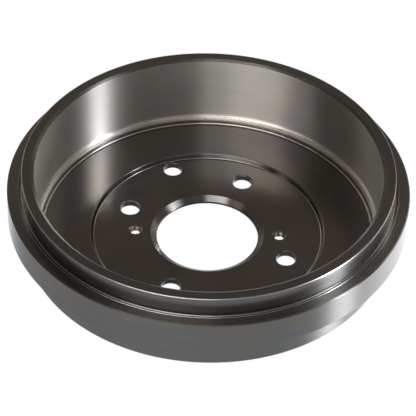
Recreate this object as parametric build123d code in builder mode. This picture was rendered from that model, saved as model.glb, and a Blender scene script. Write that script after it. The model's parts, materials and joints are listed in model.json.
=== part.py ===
"""Brake drum for a four-stud hub: one grey-iron casting, turned all over and then drilled.

The frame's origin is the centre of the face that seats on the hub. +Z runs along the axis towards
the drum's open mouth, and the shoe adjuster's access hole lies on +Y. Lengths are in millimetres.
"""

import os

from build123d import *

# Drum wall. The shoes rub on its inner face.
friction_diameter = 228.6
overall_height = 60.0
wall_thickness = 7.1

# Lip beyond the flange, with the chamfered mouth that lets the drum slide over the shoes.
lip_thickness = 8.2
lip_height = 13.5
lip_edge_chamfer = 0.7
mouth_chamfer_width = 1.8
mouth_chamfer_depth = 1.1

# Stiffening flange round the wall, and the shallow groove between it and the lip.
flange_projection = 10.7
flange_height = 20.9
flange_edge_chamfer = 0.7
groove_width = 1.8
groove_depth = 0.7

# Web between the wall and the hub plate, and the ledge at the foot of the friction face.
web_thickness = 4.8
web_corner_chamfer = 1.3
foot_radius = 3.1
ledge_width = 1.2
ledge_height = 2.4

# Hub plate. It sits below the web, so its seat stands proud of the web's underside.
hub_plate_thickness = 4.4
seat_height = 2.4
seat_diameter = 160.0
seat_edge_chamfer = 0.5
recess_diameter = 151.8
recess_slope_width = 1.7
recess_edge_radius = 0.8

# Centre bore, with a wide lead-in chamfer on the inside.
bore_diameter = 67.6
bore_chamfer_width = 4.0
bore_chamfer_depth = 2.7
bore_seat_chamfer = 0.3

# Wheel stud holes.
stud_count = 4
stud_circle_diameter = 114.3
stud_hole_diameter = 12.8
stud_hole_chamfer = 0.9
stud_start_angle = 45.0

# Access hole for the shoe adjuster, on +Y.
access_angle = 90.0
access_circle_diameter = 136.2
access_hole_diameter = 12.6
access_hole_chamfer = 0.4

# Pair of tapped holes for the screws that jack the drum off its hub, at the M8 thread's minor diameter.
jack_count = 2
jack_angle = -22.5
jack_circle_diameter = 96.0
jack_minor_diameter = 6.65
jack_hole_chamfer = 1.0

# Deburring chamfer where the drilled holes break through the hub seat.
seat_deburr = 0.3

# Radii of the turned faces, from the axis outwards.
bore_radius = bore_diameter / 2
seat_radius = seat_diameter / 2
recess_radius = recess_diameter / 2
friction_radius = friction_diameter / 2
ledge_radius = friction_radius - foot_radius - ledge_width
wall_radius = friction_radius + wall_thickness
lip_radius = friction_radius + lip_thickness
groove_radius = lip_radius + groove_width
flange_radius = wall_radius + flange_projection

# Heights of the turned faces above the hub seat.
web_floor = seat_height + web_thickness
ledge_top = web_floor + ledge_height
flange_top = overall_height - lip_height
flange_bottom = flange_top - flange_height
groove_floor = flange_top - groove_depth

# Corners of the half section that are rounded or broken, each with its size.
seat_edge = (seat_radius, 0)
web_corner = (wall_radius, seat_height)
flange_lower_edge = (flange_radius, flange_bottom)
flange_upper_edge = (flange_radius, flange_top)
lip_edge = (lip_radius, overall_height)
friction_foot = (friction_radius, ledge_top)
recess_edge = (recess_radius + recess_slope_width, web_floor)

rounded_corners = [
    (friction_foot, foot_radius),
    (recess_edge, recess_edge_radius),
]
chamfered_corners = [
    (seat_edge, seat_edge_chamfer),
    (web_corner, web_corner_chamfer),
    (flange_lower_edge, flange_edge_chamfer),
    (flange_upper_edge, flange_edge_chamfer),
    (lip_edge, lip_edge_chamfer),
]

with BuildPart() as brake_drum:
    # Half section in the XZ plane, walked anticlockwise from the bore's lower edge.
    with BuildSketch(Plane.XZ) as half_section:
        with BuildLine():
            Polyline(
                (bore_radius, bore_seat_chamfer),
                (bore_radius + bore_seat_chamfer, 0),
                seat_edge,
                (seat_radius, seat_height),
                web_corner,
                (wall_radius, flange_bottom),
                flange_lower_edge,
                flange_upper_edge,
                (groove_radius, flange_top),
                (groove_radius, groove_floor),
                (lip_radius, groove_floor),
                lip_edge,
                (friction_radius + mouth_chamfer_width, overall_height),
                (friction_radius, overall_height - mouth_chamfer_depth),
                friction_foot,
                (ledge_radius, ledge_top),
                (ledge_radius, web_floor),
                recess_edge,
                (recess_radius, hub_plate_thickness),
                (bore_radius + bore_chamfer_width, hub_plate_thickness),
                (bore_radius, hub_plate_thickness - bore_chamfer_depth),
                close=True,
            )
        make_face()
        for (radius, height), rounding in rounded_corners:
            corner = half_section.vertices().sort_by_distance(Vector(radius, height, 0))[0]
            fillet(corner, radius=rounding)
        for (radius, height), leg in chamfered_corners:
            corner = half_section.vertices().sort_by_distance(Vector(radius, height, 0))[0]
            chamfer(corner, length=leg)
    revolve(axis=Axis.Z)

    # Holes drilled through the hub plate, each opened out by a chamfer on the inside.
    with Locations(Location((0, 0, hub_plate_thickness))):
        with PolarLocations(stud_circle_diameter / 2, stud_count, start_angle=stud_start_angle):
            CounterSinkHole(
                radius=stud_hole_diameter / 2,
                counter_sink_radius=stud_hole_diameter / 2 + stud_hole_chamfer,
                counter_sink_angle=90,
            )
        with PolarLocations(access_circle_diameter / 2, 1, start_angle=access_angle):
            CounterSinkHole(
                radius=access_hole_diameter / 2,
                counter_sink_radius=access_hole_diameter / 2 + access_hole_chamfer,
                counter_sink_angle=90,
            )
        with PolarLocations(jack_circle_diameter / 2, jack_count, start_angle=jack_angle):
            CounterSinkHole(
                radius=jack_minor_diameter / 2,
                counter_sink_radius=jack_minor_diameter / 2 + jack_hole_chamfer,
                counter_sink_angle=90,
            )

    # Deburred rims of the drilled holes on the seat, the circles that are not centred on the axis.
    seat_face = brake_drum.faces().sort_by(Axis.Z)[0]
    chamfer(seat_face.edges().filter_by(lambda rim: rim.arc_center.length > bore_radius), length=seat_deburr)

brake_drum.part.label = "brake_drum"

os.makedirs("parts", exist_ok=True)
export_step(brake_drum.part, "parts/brake_drum.step")
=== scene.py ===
"""Visual model of a turned cast-iron brake drum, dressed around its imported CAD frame.

The drum stands on its hub seat with its axis on +Z. One closed surface of revolution with
drilled, chamfered and tapped holes stands for the CAD solid, and adds the small roundings, the
screw threads and the lathe's tool marks. Blender's lengths are in metres, and a class that holds
sizes says what its own are in.
"""

import json
import logging
import math
from dataclasses import dataclass
from enum import Enum
from typing import Any, Sequence

import bpy
import numpy as np
from mathutils import Matrix, Vector


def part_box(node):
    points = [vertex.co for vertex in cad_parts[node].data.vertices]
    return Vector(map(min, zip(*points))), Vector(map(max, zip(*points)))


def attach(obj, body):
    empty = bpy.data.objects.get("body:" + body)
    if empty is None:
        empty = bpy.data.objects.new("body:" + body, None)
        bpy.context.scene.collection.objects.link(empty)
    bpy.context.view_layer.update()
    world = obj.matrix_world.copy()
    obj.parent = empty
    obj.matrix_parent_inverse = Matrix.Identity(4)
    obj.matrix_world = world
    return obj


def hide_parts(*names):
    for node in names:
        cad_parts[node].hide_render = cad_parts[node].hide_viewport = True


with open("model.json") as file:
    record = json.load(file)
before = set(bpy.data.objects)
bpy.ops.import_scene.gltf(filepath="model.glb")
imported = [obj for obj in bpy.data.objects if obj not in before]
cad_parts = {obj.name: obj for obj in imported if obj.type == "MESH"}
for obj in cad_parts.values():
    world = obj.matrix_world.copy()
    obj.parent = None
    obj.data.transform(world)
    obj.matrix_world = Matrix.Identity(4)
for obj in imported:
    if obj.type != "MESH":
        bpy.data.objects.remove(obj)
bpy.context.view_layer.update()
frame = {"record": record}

MILLIMETRE = 0.001
WELD_DISTANCE = 1e-7
UV_NAME = "section"
QUARTER_TURN = 0.25
WHITE = (1.0, 1.0, 1.0, 1.0)

log = logging.getLogger("brake_drum_scene")


class Finish(Enum):
    """How a surface is finished; the value is its material's place in the mesh."""

    FACED = 0
    TURNED = 1
    COARSE = 2
    FRICTION = 3
    # Edges and fillets whose pale colour is a painted highlight.
    BURNISHED = 4
    # Hole walls, the bore's wall and the recess slope, coloured near black as painted shade.
    DRILLED = 5


class Signal:
    """A shader socket that takes part in Python arithmetic by adding Math nodes."""

    def __init__(self, graph: "Graph", socket: bpy.types.NodeSocket | None) -> None:
        """Wraps a socket.

        Args:
            graph: The node graph that the socket belongs to.
            socket: The output socket to wrap, or None where a node has no output.
        """
        self.graph = graph
        self.socket = socket

    def _math(self, operation: str, first: Any, second: Any) -> "Signal":
        """Adds a Math node.

        Args:
            operation: Blender's name of the operation.
            first: First operand, a signal or a number.
            second: Second operand, a signal or a number.

        Returns:
            The result as a signal.
        """
        return self.graph.add("ShaderNodeMath", {"operation": operation}, {0: first, 1: second})

    def __add__(self, other: Any) -> "Signal":
        """Sum of this signal and another value."""
        return self._math("ADD", self, other)

    def __radd__(self, other: Any) -> "Signal":
        """Sum of a number and this signal."""
        return self._math("ADD", other, self)

    def __sub__(self, other: Any) -> "Signal":
        """This signal less another value."""
        return self._math("SUBTRACT", self, other)

    def __rsub__(self, other: Any) -> "Signal":
        """A number less this signal."""
        return self._math("SUBTRACT", other, self)

    def __mul__(self, other: Any) -> "Signal":
        """Product of this signal and another value."""
        return self._math("MULTIPLY", self, other)

    def __rmul__(self, other: Any) -> "Signal":
        """Product of a number and this signal."""
        return self._math("MULTIPLY", other, self)

    def __abs__(self) -> "Signal":
        """Size of this signal without its sign."""
        return self._math("ABSOLUTE", self, 0.0)


class Graph:
    """Node graph of one material or world."""

    def __init__(self, tree: bpy.types.NodeTree) -> None:
        """Empties a node tree and keeps it.

        Args:
            tree: The tree to fill.
        """
        self.tree = tree
        tree.nodes.clear()

    def add(
        self,
        kind: str,
        settings: dict[str, Any] | None = None,
        inputs: dict[int | str, Any] | None = None,
        output: int | str = 0,
    ) -> Signal:
        """Adds one node: its type, then its settings, then its socket values and links.

        Args:
            kind: Blender's type name of the node.
            settings: Properties of the node that are set before its sockets.
            inputs: Socket values or signals, by the socket's name or number.
            output: Name or number of the output that is returned.

        Returns:
            The chosen output as a signal.
        """
        node = self.tree.nodes.new(kind)
        for name, value in (settings or {}).items():
            setattr(node, name, value)
        for key, value in (inputs or {}).items():
            if isinstance(value, Signal):
                self.tree.links.new(value.socket, node.inputs[key])
            else:
                node.inputs[key].default_value = value
        return Signal(self, node.outputs[output] if node.outputs else None)

    def smooth_step(self, value: Signal, low: float, high: float) -> Signal:
        """Rises smoothly from 0 to 1 while a value goes from low to high.

        Args:
            value: The value that is followed.
            low: Where the step starts. When it is above high, the step falls from 1 to 0.
            high: Where the step ends.

        Returns:
            The step as a signal.
        """
        return self.add(
            "ShaderNodeMapRange",
            {"interpolation_type": "SMOOTHSTEP"},
            {"Value": value, "From Min": low, "From Max": high},
        )

    def mix_colour(self, factor: Any, first: Any, second: Any) -> Signal:
        """Blends two colours.

        Args:
            factor: Share of the second colour.
            first: Colour at factor 0.
            second: Colour at factor 1.

        Returns:
            The blended colour as a signal.
        """
        return self.add(
            "ShaderNodeMix",
            {"data_type": "RGBA"},
            {"Factor": factor, 6: first, 7: second},
            output=2,
        )


@dataclass(frozen=True)
class LatheMetal:
    """Machined grey iron whose tool marks run round the drum's axis.

    The marks stretch highlights across themselves, along the drum's half section, so the shader is
    anisotropic. The smooth lands between the marks reflect sharply, and the marks themselves give
    a second, wider reflection. Bands along the half section add single deeper marks, and long
    smears round the axis vary the colour and the gloss. Lengths are in metres. The pitch of the
    deeper marks and the width of the streaks count mark pitches.
    """

    name: str
    warm: tuple[float, float, float, float]
    cool: tuple[float, float, float, float]
    roughness: float
    roughness_spread: float
    smear_width: float
    smears_round: float
    anisotropy: float = 0.5
    groove_share: float = 0.0
    groove_share_range: tuple[float, float] = (0.6, 1.4)
    groove_roughness: float = 0.4
    groove_anisotropy: float = 1.0
    mark_pitch: float = 0.0004
    mark_depth: float = 0.0000006
    deep_mark_pitch: float = 7.0
    fine_mark_share: float = 0.5
    streak_width: float = 3.0
    streaks_per_smear: float = 2.0
    smear_edge: tuple[float, float] = (0.25, 0.75)

    def material(self) -> bpy.types.Material:
        """Builds the node material.

        Returns:
            The material.
        """
        material = bpy.data.materials.new(self.name)
        material.use_nodes = True
        graph = Graph(material.node_tree)
        section = graph.add("ShaderNodeUVMap", {"uv_map": UV_NAME})
        along = graph.add("ShaderNodeSeparateXYZ", None, {0: section}, output="X")

        fine = self._bands(graph, along, self.mark_pitch)
        deep = self._bands(graph, along, self.mark_pitch * self.deep_mark_pitch)
        smears = self._smears(graph, along, self.smear_width, self.smears_round)
        streaks = self._smears(
            graph,
            along,
            self.mark_pitch * self.streak_width,
            self.smears_round * self.streaks_per_smear,
        )
        height = self.fine_mark_share * fine + deep
        normal = graph.add(
            "ShaderNodeBump",
            None,
            {"Strength": 1.0, "Distance": self.mark_depth, "Height": height},
        )
        patches = graph.smooth_step(smears, *self.smear_edge)
        colour = graph.mix_colour(patches, self.warm, self.cool)
        roughness = self.roughness + self.roughness_spread * (smears + streaks - 1.0)
        metal = self._metal(graph, colour, roughness, self.anisotropy, normal)
        if self.groove_share:
            grooves = self._metal(
                graph, colour, self.groove_roughness, self.groove_anisotropy, normal
            )
            least, most = self.groove_share_range
            share = self.groove_share * (least + (most - least) * streaks)
            metal = graph.add("ShaderNodeMixShader", None, {0: share, 1: metal, 2: grooves})
        graph.add("ShaderNodeOutputMaterial", None, {"Surface": metal})
        return material

    @staticmethod
    def _metal(
        graph: Graph, colour: Signal, roughness: Signal | float, anisotropy: float, normal: Signal
    ) -> Signal:
        """Metal whose reflection is stretched along the half section.

        Args:
            graph: Graph of the material.
            colour: Colour of the metal.
            roughness: Roughness of the metal.
            anisotropy: How strongly the reflection is stretched, from 0 to 1.
            normal: Normal with the tool marks.

        Returns:
            The shader.
        """
        return graph.add(
            "ShaderNodeBsdfPrincipled",
            None,
            {
                "Base Color": colour,
                "Metallic": 1.0,
                "Roughness": roughness,
                "Anisotropic": anisotropy,
                "Anisotropic Rotation": QUARTER_TURN,
                "Normal": normal,
            },
        )

    @staticmethod
    def _bands(graph: Graph, along: Signal, pitch: float) -> Signal:
        """Noise that changes along the half section and stays the same round the axis.

        Args:
            graph: Graph of the material.
            along: Length along the half section, in metres.
            pitch: Typical distance between two marks.

        Returns:
            The noise, from 0 to 1.
        """
        return graph.add(
            "ShaderNodeTexNoise",
            {"noise_dimensions": "1D"},
            {"W": along * (1 / pitch), "Scale": 1.0, "Detail": 1.0, "Roughness": 0.5},
        )

    @staticmethod
    def _smears(graph: Graph, along: Signal, width: float, turns: float) -> Signal:
        """Noise of long patches that lie round the axis.

        It is read on a cylinder: the direction from the axis times the number of turns, with the
        length along the half section, in patch widths, as its height.

        Args:
            graph: Graph of the material.
            along: Length along the half section, in metres.
            width: Width of a patch across the marks, in metres.
            turns: Radius of the cylinder, so that more make shorter patches.

        Returns:
            The noise, from 0 to 1.
        """
        place = graph.add("ShaderNodeTexCoord", output="Object")
        flat = graph.add(
            "ShaderNodeVectorMath", {"operation": "MULTIPLY"}, {0: place, 1: (1.0, 1.0, 0.0)}
        )
        outward = graph.add("ShaderNodeVectorMath", {"operation": "NORMALIZE"}, {0: flat})
        climb = graph.add("ShaderNodeCombineXYZ", None, {"Z": along * (1 / width)})
        spot = graph.add(
            "ShaderNodeVectorMath",
            {"operation": "MULTIPLY_ADD"},
            {0: outward, 1: (turns, turns, turns), 2: climb},
        )
        return graph.add(
            "ShaderNodeTexNoise",
            {"noise_dimensions": "3D"},
            {"Vector": spot, "Scale": 1.0, "Detail": 2.0, "Roughness": 0.5},
        )


@dataclass(frozen=True)
class Corner:
    """A corner of the half section, in millimetres.

    The run is the straight stretch that leads to the corner, and the edge is its rounding.
    """

    radius: float
    height: float
    rounding: float
    run: Finish = Finish.FACED
    edge: Finish = Finish.FACED


@dataclass(frozen=True)
class Outline:
    """Points of an open outline in the half plane, with outward normals and running length.

    The finish has one value for each stretch between two points.
    """

    radius: np.ndarray
    height: np.ndarray
    normal_out: np.ndarray
    normal_up: np.ndarray
    length: np.ndarray
    finish: np.ndarray


def rounded_outline(corners: Sequence[Corner], steps: int) -> Outline:
    """Rounds the corners of an outline that has its material on the left.

    At each corner the direction turns evenly from the run before to the run after. The outward
    normal is the direction turned right, and a point on the arc is the arc's start plus the
    rounding times the change of the normal since there, taken with the sign of the turn. The
    first and last corner are ends and stay sharp.

    Args:
        corners: Corners in order, in millimetres.
        steps: Number of chords in each arc.

    Returns:
        The outline in metres.
    """
    points = np.array([(c.radius, c.height) for c in corners]) * MILLIMETRE
    rounding = np.array([c.rounding for c in corners])[1:-1, None] * MILLIMETRE
    runs = np.diff(points, axis=0)
    headings = np.arctan2(runs[:, 1], runs[:, 0])
    turns = (np.diff(headings) + math.pi) % (2 * math.pi) - math.pi
    share = np.linspace(0.0, 1.0, steps + 1)[None, :]
    direction = headings[:-1, None] + turns[:, None] * share
    normals = np.stack([np.sin(direction), -np.cos(direction)], axis=-1)
    before = runs[:-1] / np.linalg.norm(runs[:-1], axis=1, keepdims=True)
    starts = points[1:-1] - before * rounding * np.tan(np.abs(turns) / 2)[:, None]
    swing = (rounding * np.sign(turns)[:, None])[:, :, None]
    arcs = starts[:, None, :] + swing * (normals - normals[:, :1, :])

    end_normals = np.stack([np.sin(headings[[0, -1]]), -np.cos(headings[[0, -1]])], axis=-1)
    places = np.concatenate([points[:1], arcs.reshape(-1, 2), points[-1:]])
    facing = np.concatenate([end_normals[:1], normals.reshape(-1, 2), end_normals[1:]])
    steps_along = np.linalg.norm(np.diff(places, axis=0), axis=1)
    length = np.concatenate([[0.0], np.cumsum(steps_along)])
    edge = np.array([c.edge.value for c in corners])[1:-1, None]
    run = np.array([c.run.value for c in corners])[1:, None]
    finish = np.append(np.hstack([run[:-1], np.repeat(edge, steps, axis=1)]), run[-1])
    return Outline(places[:, 0], places[:, 1], facing[:, 0], facing[:, 1], length, finish)


@dataclass
class Surface:
    """A patch of quads, by its vertices' positions, normals and texture places.

    The finish has one value for each quad.
    """

    places: np.ndarray
    normals: np.ndarray
    texture: np.ndarray
    quads: np.ndarray
    finish: np.ndarray

    @staticmethod
    def from_grid(
        places: np.ndarray, normals: np.ndarray, texture: np.ndarray, finish: np.ndarray | int
    ) -> "Surface":
        """Joins neighbouring points of a grid into quads.

        Args:
            places: Positions, rows by columns by 3.
            normals: Normals in the same layout.
            texture: Texture places, rows by columns by 2.
            finish: Finish of each row of quads, or one for all.

        Returns:
            The surface.
        """
        rows, columns = places.shape[:2]
        index = np.arange(rows * columns).reshape(rows, columns)
        quads = np.stack(
            [index[:-1, :-1], index[:-1, 1:], index[1:, 1:], index[1:, :-1]], axis=-1
        ).reshape(-1, 4)
        return Surface(
            places.reshape(-1, 3),
            normals.reshape(-1, 3),
            texture.reshape(-1, 2),
            quads,
            np.repeat(np.broadcast_to(finish, rows - 1), columns - 1),
        )


@dataclass(frozen=True)
class Hole:
    """A hole through the hub plate, in millimetres, and its angle round the axis in radians."""

    angle: float
    circle_radius: float
    bore_radius: float
    top_chamfer: float
    seat_chamfer: float
    edge_rounding: float
    thread_pitch: float = 0.0
    thread_depth: float = 0.0

    @property
    def centre(self) -> np.ndarray:
        """Centre of the hole in plan, in metres."""
        reach = self.circle_radius * MILLIMETRE
        return reach * np.array([math.cos(self.angle), math.sin(self.angle)])

    @property
    def top_reach(self) -> float:
        """Distance from the bore out to the plate's top face, in millimetres."""
        return self.top_chamfer + 2 * self.edge_rounding

    @property
    def seat_reach(self) -> float:
        """Distance from the bore out to the plate's seat face, in millimetres."""
        return self.seat_chamfer + 2 * self.edge_rounding


@dataclass(frozen=True)
class DrumMesh:
    """One closed mesh of the whole drum.

    Two grids revolve the half section: one round the bore, one round everything outside the
    drilled ring. The drilled ring's upper and lower faces are cut into equal sectors. A plain
    sector is a polar grid, and a sector with a hole blends the hole's circle into its border.
    Lengths are in millimetres.
    """

    hub_bore_radius: float
    friction_radius: float
    flange_radius: float
    overall_height: float
    holes: tuple[Hole, ...]

    wall_thickness: float = 7.1
    lip_thickness: float = 8.2
    lip_height: float = 13.5
    lip_edge: float = 0.5
    mouth_chamfer_width: float = 1.8
    mouth_chamfer_depth: float = 1.1
    mouth_edge: float = 0.25
    flange_height: float = 20.9
    flange_chamfer: float = 0.7
    flange_rounding: float = 0.05
    flange_lower_edge: float = 0.1
    flange_root: float = 1.5
    groove_width: float = 1.8
    groove_depth: float = 0.7
    groove_root: float = 0.45
    groove_corner: float = 0.2
    ridge_height: float = 0.15
    ridge_width: float = 0.7
    ridge_slope: float = 0.1
    ridge_rounding: float = 0.04
    web_thickness: float = 4.8
    web_corner: float = 2.0
    foot_rounding: float = 3.1
    ledge_width: float = 1.2
    ledge_height: float = 2.4
    ledge_edge: float = 0.3
    ledge_root: float = 0.6
    plate_thickness: float = 4.4
    seat_height: float = 2.4
    seat_radius: float = 80.0
    seat_edge: float = 0.8
    seat_root: float = 1.2
    recess_radius: float = 75.9
    recess_slope: float = 1.7
    recess_root: float = 0.4
    recess_edge: float = 0.8
    bore_chamfer_width: float = 4.0
    bore_chamfer_depth: float = 2.7
    bore_seat_chamfer: float = 0.3
    bore_edge: float = 0.2

    ring_inner: float = 41.0
    ring_outer: float = 75.2
    sectors: int = 16
    columns_per_sector: int = 20
    rows_per_sector: int = 20
    blend_rows: int = 9
    arc_steps: int = 6
    thread_rows: int = 72
    thread_flat: float = 0.2

    @property
    def floor_height(self) -> float:
        """Height of the drum's floor, round the hub plate."""
        return self.seat_height + self.web_thickness

    @property
    def ledge_top(self) -> float:
        """Height of the ledge at the foot of the friction face."""
        return self.floor_height + self.ledge_height

    @property
    def mouth_height(self) -> float:
        """Height where the friction face ends at the mouth's chamfer."""
        return self.overall_height - self.mouth_chamfer_depth

    @property
    def columns(self) -> int:
        """Number of columns of quads round the axis."""
        return self.sectors * self.columns_per_sector

    def bore_corners(self) -> list[Corner]:
        """Half section round the hub bore, from the plate's top in and down to its seat.

        Returns:
            The corners, with the drum's material on their left.
        """
        bore = self.hub_bore_radius
        top = self.plate_thickness
        # The bore's wall and the lower edge of its chamfer are coloured near black: painted shade
        # that dims their glints.
        coarse, drilled = Finish.COARSE, Finish.DRILLED
        return [
            Corner(self.ring_inner, top, 0.0),
            Corner(bore + self.bore_chamfer_width, top, self.bore_edge),
            Corner(bore, top - self.bore_chamfer_depth, self.bore_edge, coarse, drilled),
            Corner(bore, self.bore_seat_chamfer, self.bore_edge / 2, drilled, drilled),
            Corner(bore + self.bore_seat_chamfer, 0.0, self.bore_edge / 2),
            Corner(self.ring_inner, 0.0, 0.0),
        ]

    def shell_corners(self) -> list[Corner]:
        """Half section of all that lies outside the drilled ring, from seat to recess.

        Returns:
            The corners, with the drum's material on their left.
        """
        wall = self.friction_radius + self.wall_thickness
        lip = self.friction_radius + self.lip_thickness
        groove = lip + self.groove_width
        ledge = self.friction_radius - self.foot_rounding - self.ledge_width
        top = self.overall_height
        flange_top = top - self.lip_height
        flange_bottom = flange_top - self.flange_height
        mouth = self.friction_radius + self.mouth_chamfer_width
        slope = self.recess_radius + self.recess_slope
        chamfer_foot = flange_top - self.flange_chamfer
        chamfer_top = self.flange_radius - self.flange_chamfer
        ridge = flange_top + self.ridge_height
        ridge_foot = groove + self.ridge_width
        ridge_top = ridge_foot - self.ridge_slope
        # Edges and fillets marked bright are coloured pale: a painted highlight along each of
        # them.
        turned, coarse, bright = Finish.TURNED, Finish.COARSE, Finish.BURNISHED
        return [
            Corner(self.ring_outer, 0.0, 0.0),
            Corner(self.seat_radius, 0.0, self.seat_edge),
            Corner(self.seat_radius, self.seat_height, self.seat_root),
            Corner(wall, self.seat_height, self.web_corner),
            Corner(wall, flange_bottom, self.flange_root, run=turned),
            Corner(self.flange_radius, flange_bottom, self.flange_lower_edge),
            Corner(self.flange_radius, chamfer_foot, self.flange_rounding, run=turned),
            Corner(chamfer_top, flange_top, self.flange_rounding),
            Corner(ridge_foot, flange_top, self.ridge_rounding, run=coarse, edge=bright),
            Corner(ridge_top, ridge, self.ridge_rounding, run=bright, edge=bright),
            Corner(groove, ridge, self.ridge_rounding),
            Corner(groove, flange_top - self.groove_depth, self.groove_corner),
            Corner(lip, flange_top - self.groove_depth, self.groove_root, edge=bright),
            Corner(lip, top, self.lip_edge, run=turned, edge=bright),
            Corner(mouth, top, self.mouth_edge),
            Corner(self.friction_radius, self.mouth_height, self.mouth_edge, run=coarse),
            Corner(
                self.friction_radius,
                self.ledge_top,
                self.foot_rounding,
                run=Finish.FRICTION,
                edge=bright,
            ),
            Corner(ledge, self.ledge_top, self.ledge_edge),
            Corner(ledge, self.floor_height, self.ledge_root, edge=bright),
            Corner(slope, self.floor_height, self.recess_edge),
            # The recess slope is coloured near black, painted shade standing in for the dark wall
            # that it reflects; its root's pale edge is a painted highlight.
            Corner(
                self.recess_radius,
                self.plate_thickness,
                self.recess_root,
                run=Finish.DRILLED,
                edge=bright,
            ),
            Corner(self.ring_outer, self.plate_thickness, 0.0),
        ]

    @staticmethod
    def swept(outline: Outline, rays: np.ndarray, centre: np.ndarray) -> Surface:
        """Turns an outline round an upright axis.

        A point goes to the axis plus its radius along its column's ray, at its own height, and
        its normal turns with it.

        Args:
            outline: Outline with its material on the left.
            rays: Unit directions of the columns in plan.
            centre: Place of the axis in plan, in metres.

        Returns:
            The turned surface.
        """
        plan = centre + rays[None] * outline.radius[:, None, None]
        level = np.broadcast_to(outline.height[:, None, None], plan.shape[:2] + (1,))
        out = rays[None] * outline.normal_out[:, None, None]
        up = np.broadcast_to(outline.normal_up[:, None, None], level.shape)
        turn = np.linspace(0.0, 1.0, len(rays))
        return Surface.from_grid(
            np.concatenate([plan, level], axis=-1),
            np.concatenate([out, up], axis=-1),
            np.stack(np.broadcast_arrays(outline.length[:, None], turn[None]), axis=-1),
            outline.finish,
        )

    def revolved(self, corners: Sequence[Corner]) -> Surface:
        """Turns a half section once round the drum's axis.

        Args:
            corners: Corners of the half section, with its material on the left.

        Returns:
            The turned surface.
        """
        angle = 2 * math.pi * np.linspace(0.0, 1.0, self.columns + 1)
        rays = np.stack([np.cos(angle), np.sin(angle)], axis=-1)
        return self.swept(rounded_outline(corners, self.arc_steps), rays, np.zeros(2))

    def sector_number(self, hole: Hole) -> int:
        """Number of the sector that a hole stands in the middle of."""
        return round(hole.angle / self.sector_angle) % self.sectors

    @property
    def sector_angle(self) -> float:
        """Angle that a sector spans, in radians."""
        return 2 * math.pi / self.sectors

    def sector_border(self, number: int) -> np.ndarray:
        """Closed border of one sector of the drilled ring.

        It runs out along the sector's first side, back round its outer arc, in along its second
        side and back along its inner arc, and ends where it started.

        Args:
            number: Number of the sector.

        Returns:
            Border points in plan, in metres.
        """
        half = self.sector_angle / 2
        inner, outer = self.ring_inner * MILLIMETRE, self.ring_outer * MILLIMETRE
        out = np.linspace(inner, outer, self.rows_per_sector + 1)
        swing = np.linspace(-half, half, self.columns_per_sector + 1)
        side, arc = np.ones(len(out) - 1), np.ones(len(swing) - 1)
        radius = np.concatenate([out[:-1], outer * arc, out[:0:-1], inner * arc, [inner]])
        angle = np.concatenate([-half * side, swing[:-1], half * side, swing[::-1]])
        angle += number * self.sector_angle
        return np.stack([radius * np.cos(angle), radius * np.sin(angle)], axis=-1)

    def plane_face(self, plan: np.ndarray, height: float, up: float) -> Surface:
        """Lays a grid of plan points flat.

        Args:
            plan: Plan positions, rows by columns by 2.
            height: Height of the face in metres.
            up: 1 where the face looks up, -1 where it looks down.

        Returns:
            The flat surface, with its faces turned to where it looks.
        """
        level = np.full(plan.shape[:2] + (1,), height)
        places = np.concatenate([plan, level], axis=-1)
        normals = np.broadcast_to(np.array([0.0, 0.0, up]), places.shape)
        reach = np.hypot(plan[..., 0], plan[..., 1])
        turn = np.arctan2(plan[..., 1], plan[..., 0]) / (2 * math.pi)
        texture = np.stack([reach, turn], axis=-1)
        return Surface.from_grid(places, normals, texture, Finish.FACED.value)

    def plain_sector(self, number: int, height: float, up: float) -> Surface:
        """Polar grid over a sector without a hole.

        Args:
            number: Number of the sector.
            height: Height of the face in metres.
            up: 1 where the face looks up, -1 where it looks down.

        Returns:
            The surface.
        """
        half = self.sector_angle / 2
        reach = np.linspace(self.ring_inner, self.ring_outer, self.rows_per_sector + 1)
        swing = np.linspace(-half, half, self.columns_per_sector + 1)
        angle = number * self.sector_angle + swing
        reach, angle = np.meshgrid(reach * MILLIMETRE, angle, indexing="ij")
        plan = np.stack([reach * np.cos(angle), reach * np.sin(angle)], axis=-1)
        return self.plane_face(plan, height, up)

    def rays(self, hole: Hole) -> np.ndarray:
        """Unit directions from a hole's centre to the points of its sector's border."""
        rays = self.sector_border(self.sector_number(hole)) - hole.centre
        return rays / np.linalg.norm(rays, axis=1, keepdims=True)

    def drilled_sector(self, hole: Hole, growth: float, height: float, up: float) -> Surface:
        """Blends the circle of a hole into the border of its sector.

        A row's points lie between the circle and the border, at a share that grows evenly with
        the row's number.

        Args:
            hole: The hole.
            growth: How far the face's edge lies outside the bore, in millimetres.
            height: Height of the face in metres.
            up: 1 where the face looks up, -1 where it looks down.

        Returns:
            The surface.
        """
        share = np.linspace(0.0, 1.0, self.blend_rows + 1)[:, None, None]
        reach = (hole.bore_radius + growth) * MILLIMETRE
        circle = (hole.centre + self.rays(hole) * reach)[None]
        border = self.sector_border(self.sector_number(hole))[None]
        return self.plane_face(circle + (border - circle) * share, height, up)

    def hole_wall(self, hole: Hole) -> Surface:
        """Wall of a hole, from the edge of its upper chamfer down to the edge of its lower one.

        Args:
            hole: The hole.

        Returns:
            The surface, facing the hole's axis.
        """
        bore, top, edge = hole.bore_radius, self.plate_thickness, hole.edge_rounding
        # The hole's wall and its chamfer's lower edge are coloured near black: painted shade
        # inside the hole.
        coarse, drilled = Finish.COARSE, Finish.DRILLED
        section = rounded_outline(
            [
                Corner(bore + hole.top_reach, top, 0.0),
                Corner(bore + hole.top_chamfer, top, edge),
                Corner(bore, top - hole.top_chamfer, edge, coarse, drilled),
                Corner(bore, hole.seat_chamfer, edge / 2, drilled),
                Corner(bore + hole.seat_chamfer, 0.0, edge / 2),
                Corner(bore + hole.seat_reach, 0.0, 0.0),
            ],
            self.arc_steps,
        )
        if hole.thread_pitch:
            return self.tapped_wall(hole, section)
        return self.swept(section, self.rays(hole), hole.centre)

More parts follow.
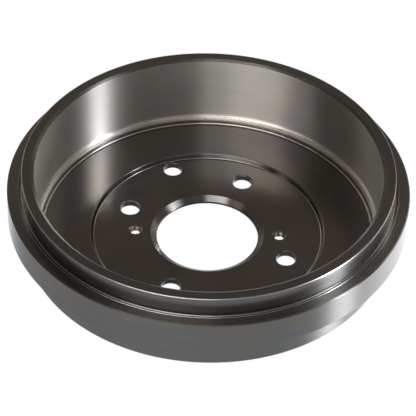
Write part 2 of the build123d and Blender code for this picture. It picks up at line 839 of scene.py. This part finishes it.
    def tapped_wall(self, hole: Hole, section: Outline) -> Surface:
        """Wall of a tapped hole.

        The depth of the thread is a triangle wave of the height less the turn, both in thread
        pitches, with its crests and roots cut flat. The wall lies where the thread does or where
        the plain hole does, whichever is wider, so that the two chamfers cut the thread off.

        Args:
            hole: The hole.
            section: Outline of the plain hole, from the plate's top face to its seat.

        Returns:
            The surface, facing the hole's axis.
        """
        rays = self.rays(hole)
        turn = np.unwrap(np.arctan2(rays[:, 1], rays[:, 0])) / (2 * math.pi)
        height = np.linspace(self.plate_thickness, 0.0, self.thread_rows + 1) * MILLIMETRE
        plain = np.interp(-height, -section.height, section.radius)
        phase = height[:, None] / (hole.thread_pitch * MILLIMETRE) - turn[None]
        wave = 1.0 - np.abs(2.0 * (phase % 1.0) - 1.0)
        flanks = np.clip((1.0 + 2 * self.thread_flat) * wave - self.thread_flat, 0.0, 1.0)
        thread = (hole.bore_radius + hole.thread_depth * flanks) * MILLIMETRE
        radius = np.maximum(plain[:, None], thread)
        radius[0], radius[-1] = section.radius[0], section.radius[-1]
        plan = hole.centre + rays[None] * radius[..., None]
        level = np.broadcast_to(height[:, None, None], plan.shape[:2] + (1,))
        places = np.concatenate([plan, level], axis=-1)
        down = np.gradient(places, axis=0)
        around = np.gradient(places, axis=1)
        around[:, 0] = around[:, -1] = places[:, 1] - places[:, -2]
        normals = np.cross(down, around)
        normals /= np.linalg.norm(normals, axis=-1, keepdims=True)
        outward = (normals[..., :2] * rays[None]).sum(axis=-1, keepdims=True) > 0
        normals = np.where(outward, -normals, normals)
        share = np.linspace(0.0, 1.0, len(rays))
        texture = np.stack(np.broadcast_arrays(-height[:, None], share[None]), axis=-1)
        return Surface.from_grid(places, normals, texture, Finish.FACED.value)

    def surfaces(self) -> list[Surface]:
        """Makes the turned grids, the drilled ring's sectors and the walls of its holes.

        Returns:
            The surfaces, which together close the drum.
        """
        parts = [self.revolved(self.bore_corners()), self.revolved(self.shell_corners())]
        top, bottom = self.plate_thickness * MILLIMETRE, 0.0
        drilled = {self.sector_number(hole): hole for hole in self.holes}
        for number in range(self.sectors):
            hole = drilled.get(number)
            if hole is None:
                parts += [
                    self.plain_sector(number, top, 1.0),
                    self.plain_sector(number, bottom, -1.0),
                ]
                continue
            parts += [
                self.drilled_sector(hole, hole.top_reach, top, 1.0),
                self.drilled_sector(hole, hole.seat_reach, bottom, -1.0),
                self.hole_wall(hole),
            ]
        return parts

    def build(self, name: str) -> bpy.types.Object:
        """Joins the surfaces into one closed mesh with their exact normals.

        Points that fall together are merged, and quads are turned so that they face along their
        vertices' normals.

        Args:
            name: Name of the piece.

        Returns:
            The piece.
        """
        parts = self.surfaces()
        offsets = np.cumsum([0] + [len(part.places) for part in parts[:-1]])
        places = np.concatenate([part.places for part in parts])
        normals = np.concatenate([part.normals for part in parts])
        texture = np.concatenate([part.texture for part in parts])
        quads = np.concatenate([part.quads + start for part, start in zip(parts, offsets)])
        finish = np.concatenate([part.finish for part in parts])

        corners = places[quads]
        facing = np.cross(corners[:, 2] - corners[:, 0], corners[:, 3] - corners[:, 1])
        backward = (facing * normals[quads].sum(axis=1)).sum(axis=1) < 0
        quads[backward] = quads[backward][:, ::-1]

        cells = np.round(places / WELD_DISTANCE).astype(np.int64)
        _, first, merged = np.unique(cells, axis=0, return_index=True, return_inverse=True)
        faces = merged.reshape(-1)[quads]
        mesh = bpy.data.meshes.new(name)
        mesh.from_pydata(places[first].tolist(), [], faces.tolist())
        layer = mesh.uv_layers.new(name=UV_NAME)
        layer.data.foreach_set("uv", texture[quads.reshape(-1)].reshape(-1).astype(np.float32))
        mesh.polygons.foreach_set("material_index", finish.astype(np.int32))
        mesh.polygons.foreach_set("use_smooth", np.ones(len(faces), dtype=bool))
        mesh.normals_split_custom_set(normals[quads.reshape(-1)].tolist())
        mesh.update()
        piece = bpy.data.objects.new(name, mesh)
        bpy.context.scene.collection.objects.link(piece)
        return piece


@dataclass
class BrakeDrum:
    """The drum: reads its interfaces from the frame, builds the mesh and dresses it.

    Lengths are in millimetres, and the first stud hole's angle is in degrees.
    """

    record: dict[str, Any]
    node: str = "brake_drum"
    piece_name: str = "turned_drum"
    body: str = "root"
    slot: str = "cast_iron"
    stud_start_angle: float = 45.0
    stud_chamfer: float = 0.9
    access_chamfer: float = 0.4
    jack_chamfer: float = 1.0
    seat_deburr: float = 0.3
    hole_edge: float = 0.12
    thread_pitch: float = 1.25
    thread_depth: float = 0.67

    def mount(self, name: str) -> dict[str, Any]:
        """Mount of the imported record.

        Args:
            name: The mount's name.

        Returns:
            The mount's entry.
        """
        return next(entry for entry in self.record["mounts"] if entry["name"] == name)

    def hole_at(self, mount_name: str, chamfer: float, pitch: float = 0.0) -> Hole:
        """Hole at the place of a bore mount.

        Args:
            mount_name: The mount's name.
            chamfer: Chamfer on the hole's upper edge, in millimetres.
            pitch: Pitch of the hole's thread in millimetres, or 0 in a plain hole.

        Returns:
            The hole.
        """
        entry = self.mount(mount_name)
        x, y = entry["pos_m"][:2]
        return Hole(
            angle=math.atan2(y, x),
            circle_radius=math.hypot(x, y) / MILLIMETRE,
            bore_radius=entry["dims"]["r_mm"],
            top_chamfer=chamfer,
            seat_chamfer=self.seat_deburr,
            edge_rounding=self.hole_edge,
            thread_pitch=pitch,
            thread_depth=self.thread_depth if pitch else 0.0,
        )

    def holes(self) -> tuple[Hole, ...]:
        """Places the holes where the frame's mounts are.

        Returns:
            The stud holes, the adjuster's access hole and the tapped jacking holes.
        """
        studs = self.mount("stud_holes")["dims"]
        step = 360.0 / studs["count"]
        stud_holes = [
            Hole(
                angle=math.radians(self.stud_start_angle + number * step),
                circle_radius=studs["pcd_mm"] / 2,
                bore_radius=studs["hole_r_mm"],
                top_chamfer=self.stud_chamfer,
                seat_chamfer=self.seat_deburr,
                edge_rounding=self.hole_edge,
            )
            for number in range(studs["count"])
        ]
        return (
            *stud_holes,
            self.hole_at("adjuster_access_hole", self.access_chamfer),
            self.hole_at("jack_hole_a", self.jack_chamfer, self.thread_pitch),
            self.hole_at("jack_hole_b", self.jack_chamfer, self.thread_pitch),
        )

    def finishes(self) -> dict[Finish, LatheMetal]:
        """Sets the finish of each kind of surface.

        Returns:
            The metal of each finish.
        """
        return {
            Finish.FACED: LatheMetal(
                name="faced_iron",
                warm=(0.318, 0.286, 0.256, 1.0),
                cool=(0.262, 0.258, 0.254, 1.0),
                roughness=0.18,
                roughness_spread=0.03,
                groove_share=0.06,
                smear_width=0.014,
                smears_round=2.0,
            ),
            Finish.TURNED: LatheMetal(
                name="turned_iron",
                warm=(0.268, 0.247, 0.226, 1.0),
                cool=(0.222, 0.231, 0.242, 1.0),
                roughness=0.20,
                roughness_spread=0.04,
                groove_share=0.09,
                smear_width=0.006,
                smears_round=3.5,
            ),
            Finish.COARSE: LatheMetal(
                name="coarse_turned_iron",
                warm=(0.30, 0.28, 0.262, 1.0),
                cool=(0.275, 0.268, 0.262, 1.0),
                roughness=0.18,
                roughness_spread=0.03,
                groove_share=0.25,
                smear_width=0.004,
                smears_round=2.5,
            ),
            Finish.FRICTION: LatheMetal(
                name="honed_iron",
                warm=(0.63, 0.60, 0.565, 1.0),
                cool=(0.56, 0.565, 0.57, 1.0),
                roughness=0.40,
                roughness_spread=0.05,
                anisotropy=1.0,
                mark_depth=0.0000008,
                smear_width=0.012,
                smears_round=4.0,
            ),
            # Pale colour for edges and fillets: a painted highlight.
            Finish.BURNISHED: LatheMetal(
                name="burnished_iron",
                warm=(0.86, 0.83, 0.78, 1.0),
                cool=(0.78, 0.79, 0.80, 1.0),
                roughness=0.28,
                roughness_spread=0.04,
                anisotropy=0.9,
                groove_share=0.1,
                smear_width=0.004,
                smears_round=2.5,
            ),
            # Near-black colour for hole walls, the bore's wall and the recess slope: painted
            # shade.
            Finish.DRILLED: LatheMetal(
                name="drilled_iron",
                warm=(0.075, 0.068, 0.064, 1.0),
                cool=(0.055, 0.055, 0.055, 1.0),
                roughness=0.15,
                roughness_spread=0.04,
                anisotropy=0.0,
                mark_depth=0.0000008,
                smear_width=0.002,
                smears_round=4.0,
            ),
        }

    def build(self) -> None:
        """Builds and dresses the drum, and puts it in place of the CAD node."""
        _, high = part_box(self.node)
        mesh = DrumMesh(
            hub_bore_radius=self.mount("hub_bore")["dims"]["r_mm"],
            friction_radius=self.mount("friction_face")["dims"]["r_mm"],
            flange_radius=high.x / MILLIMETRE,
            overall_height=high.z / MILLIMETRE,
            holes=self.holes(),
        )
        piece = mesh.build(self.piece_name)
        finishes = self.finishes()
        for finish in Finish:
            piece.data.materials.append(finishes[finish].material())
        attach(piece, self.body)
        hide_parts(self.node)
        log.info("%s: %d faces", piece.name, len(piece.data.polygons))


@dataclass(frozen=True)
class Panel:
    """A soft-edged bright panel round the drum, by the angles that it covers, in degrees."""

    name: str
    azimuth: float
    half_width: float
    elevation: float
    half_height: float
    edge: float
    radiance: float
    colour: tuple[float, float, float]

    def mask(self, graph: Graph, azimuth: Signal, elevation: Signal) -> Signal:
        """Share of the panel's light that comes from a direction.

        The share is the product of two smooth steps down, over the edge's width, of the distances
        in azimuth and in elevation from the panel's middle.

        Args:
            graph: Graph of the surroundings.
            azimuth: Azimuth of the direction, in degrees.
            elevation: Elevation of the direction, in degrees.

        Returns:
            The share, from 0 to 1.
        """
        aside = graph.add(
            "ShaderNodeMath",
            {"operation": "WRAP"},
            {0: azimuth - self.azimuth, 1: 180.0, 2: -180.0},
        )
        above = elevation - self.elevation
        soft = self.edge / 2
        across = graph.smooth_step(abs(aside), self.half_width + soft, self.half_width - soft)
        along = graph.smooth_step(abs(above), self.half_height + soft, self.half_height - soft)
        return across * along


@dataclass
class Studio:
    """Camera, floor, surroundings and bright panels.

    The studio has its own axes, turned about the drum's, and the camera looks along its Y axis.
    Azimuths count from its X axis. The aim height, the focal length and the sensor's width are in
    millimetres, other lengths are in metres, and angles are in degrees. The table's and the
    overhead colour blend into the horizon's over a range of elevations. A panel's numbers are its
    azimuth, half width, elevation, half height, edge and radiance.
    """

    turn: float = -21.44
    aim_height: float = 4.3
    camera_distance: float = 1.694
    camera_elevation: float = 42.35
    camera_tilt: float = 0.554
    camera_roll: float = 1.611
    focal_length: float = 219.67
    sensor_width: float = 36.0
    floor_size: float = 40.0
    panels: tuple[Panel, ...] = (
        Panel("key", -18.0, 5.0, 18.0, 8.0, 7.0, 22.0, (1.0, 1.0, 1.0)),
        Panel("key_mirrored", -18.0, 6.0, -5.0, 4.0, 3.0, 300.0, (0.98, 1.0, 1.03)),
        Panel("key_spill", -4.0, 12.0, 50.0, 8.0, 8.0, 2.2, (0.96, 1.0, 1.04)),
        Panel("over_front", -110.0, 70.0, 54.0, 6.0, 8.0, 0.4, (1.0, 0.96, 0.9)),
        Panel("over_left", -116.0, 32.0, 66.0, 5.0, 8.0, 3.0, (1.0, 1.0, 1.02)),
        Panel("front", -119.0, 18.0, 19.0, 15.0, 8.0, 3.0, (1.0, 0.97, 0.92)),
        Panel("front_right", -92.0, 8.0, 19.0, 15.0, 8.0, 1.6, (1.0, 0.96, 0.9)),
        Panel("left_strip", -141.0, 5.0, 14.0, 12.0, 6.0, 1.2, (1.0, 0.9, 0.8)),
        Panel("right_fill", -55.0, 30.0, 14.0, 13.0, 10.0, 0.35, (1.0, 0.97, 0.93)),
        Panel("back_right", 30.0, 17.0, 14.0, 12.0, 8.0, 0.8, (1.0, 0.95, 0.88)),
        Panel("back", 88.0, 22.0, 14.0, 12.0, 8.0, 1.1, (0.95, 1.0, 1.06)),
        Panel("back_high", 62.0, 10.0, 46.0, 8.0, 8.0, 1.2, (1.0, 0.96, 0.9)),
        Panel("back_left", 115.0, 8.0, 36.0, 7.0, 8.0, 0.9, (1.0, 0.96, 0.9)),
        Panel("table_back", 60.0, 50.0, -48.0, 20.0, 60.0, 1.5, (1.0, 1.0, 1.02)),
        Panel("table_glow", -5.0, 12.0, -42.0, 18.0, 14.0, 0.6, (1.0, 1.0, 1.02)),
        Panel("ceiling", 0.0, 200.0, 90.0, 8.0, 6.0, 0.9, (1.0, 0.95, 0.85)),
    )
    overhead_colour: tuple[float, float, float] = (0.105, 0.089, 0.075)
    horizon_colour: tuple[float, float, float] = (0.12, 0.12, 0.12)
    table_colour: tuple[float, float, float] = (0.47, 0.485, 0.485)
    table_edge: tuple[float, float] = (-35.0, -10.0)
    overhead_edge: tuple[float, float] = (0.0, 20.0)

    @property
    def turned(self) -> Matrix:
        """Rotation from the studio's own axes to the drum's frame."""
        return Matrix.Rotation(math.radians(self.turn), 4, "Z")

    def camera(self) -> None:
        """Adds the camera.

        The camera looks from its distance and elevation at the aim point. It is then tilted up
        about its right-hand axis and rolled about its line of sight.
        """
        elevation, tilt, roll = (
            math.radians(angle)
            for angle in (self.camera_elevation, self.camera_tilt, self.camera_roll)
        )
        forward = Vector((0.0, math.cos(elevation), -math.sin(elevation)))
        up = Vector((0.0, math.sin(elevation), math.cos(elevation)))
        right = Vector((1.0, 0.0, 0.0))
        place = Vector((0.0, 0.0, self.aim_height * MILLIMETRE)) - forward * self.camera_distance
        sight = math.sin(tilt) * up + math.cos(tilt) * forward
        head = math.cos(tilt) * up - math.sin(tilt) * forward
        side = math.cos(roll) * right + math.sin(roll) * head
        top = math.cos(roll) * head - math.sin(roll) * right
        matrix = Matrix((side, top, -sight)).transposed().to_4x4()
        matrix.translation = place
        data = bpy.data.cameras.new("camera")
        data.sensor_fit = "HORIZONTAL"
        data.sensor_width = self.sensor_width
        data.lens = self.focal_length
        camera = bpy.data.objects.new("camera", data)
        camera.matrix_world = self.turned @ matrix
        bpy.context.scene.collection.objects.link(camera)
        bpy.context.scene.camera = camera

    def floor(self) -> None:
        """Adds the plain white floor, clear from below."""
        half = self.floor_size / 2
        mesh = bpy.data.meshes.new("floor")
        mesh.from_pydata(
            [(-half, -half, 0.0), (half, -half, 0.0), (half, half, 0.0), (-half, half, 0.0)],
            [],
            [(0, 1, 2, 3)],
        )
        floor = bpy.data.objects.new("floor", mesh)
        bpy.context.scene.collection.objects.link(floor)
        material = bpy.data.materials.new("white_paper")
        material.use_nodes = True
        graph = Graph(material.node_tree)
        glow = graph.add("ShaderNodeEmission", None, {"Color": WHITE, "Strength": 1.0})
        beneath = graph.add("ShaderNodeNewGeometry", output="Backfacing")
        clear = graph.add("ShaderNodeBsdfTransparent")
        paper = graph.add("ShaderNodeMixShader", None, {0: beneath, 1: glow, 2: clear})
        graph.add("ShaderNodeOutputMaterial", None, {"Surface": paper})
        mesh.materials.append(material)
        floor.visible_glossy = False
        floor.visible_shadow = False

    def surroundings(self) -> None:
        """Adds a grey table, a dark room and the panels, with white behind the drum.

        The light from a direction is the room's own, plus each panel's radiance times its mask.
        """
        world = bpy.data.worlds.new("studio")
        world.use_nodes = True
        graph = Graph(world.node_tree)
        place = graph.add("ShaderNodeTexCoord", output="Generated")
        direction = graph.add(
            "ShaderNodeVectorRotate",
            {"rotation_type": "Z_AXIS"},
            {"Vector": place, "Angle": -math.radians(self.turn)},
        )
        right, away, up = (
            graph.add("ShaderNodeSeparateXYZ", None, {0: direction}, output=axis) for axis in "XYZ"
        )
        azimuth = graph.add("ShaderNodeMath", {"operation": "ARCTAN2"}, {0: away, 1: right})
        elevation = graph.add("ShaderNodeMath", {"operation": "ARCSINE"}, {0: up})
        azimuth, elevation = azimuth * math.degrees(1.0), elevation * math.degrees(1.0)
        rise = graph.smooth_step(elevation, *self.table_edge)
        light = graph.mix_colour(rise, (*self.table_colour, 1.0), (*self.horizon_colour, 1.0))
        rise = graph.smooth_step(elevation, *self.overhead_edge)
        light = graph.mix_colour(rise, light, (*self.overhead_colour, 1.0))
        for panel in self.panels:
            glow = tuple(panel.radiance * part for part in panel.colour)
            light = graph.add(
                "ShaderNodeVectorMath",
                {"operation": "MULTIPLY_ADD"},
                {0: glow, 1: panel.mask(graph, azimuth, elevation), 2: light},
            )
            log.info("panel %s", panel.name)
        reflected = graph.add("ShaderNodeBackground", None, {"Color": light, "Strength": 1.0})
        seen = graph.add("ShaderNodeBackground", None, {"Color": WHITE, "Strength": 1.0})
        direct = graph.add("ShaderNodeLightPath", output="Is Camera Ray")
        shown = graph.add("ShaderNodeMixShader", None, {0: direct, 1: reflected, 2: seen})
        graph.add("ShaderNodeOutputWorld", None, {"Surface": shown})
        bpy.context.scene.world = world

    def build(self) -> None:
        """Sets up the studio."""
        self.camera()
        self.floor()
        self.surroundings()
        bpy.context.scene.view_settings.view_transform = "Standard"


def main() -> None:
    """Builds the studio and the drum."""
    logging.basicConfig(level=logging.INFO, format="%(name)s: %(message)s")
    Studio().build()
    BrakeDrum(frame["record"]).build()


if __name__ == "__main__":
    main()
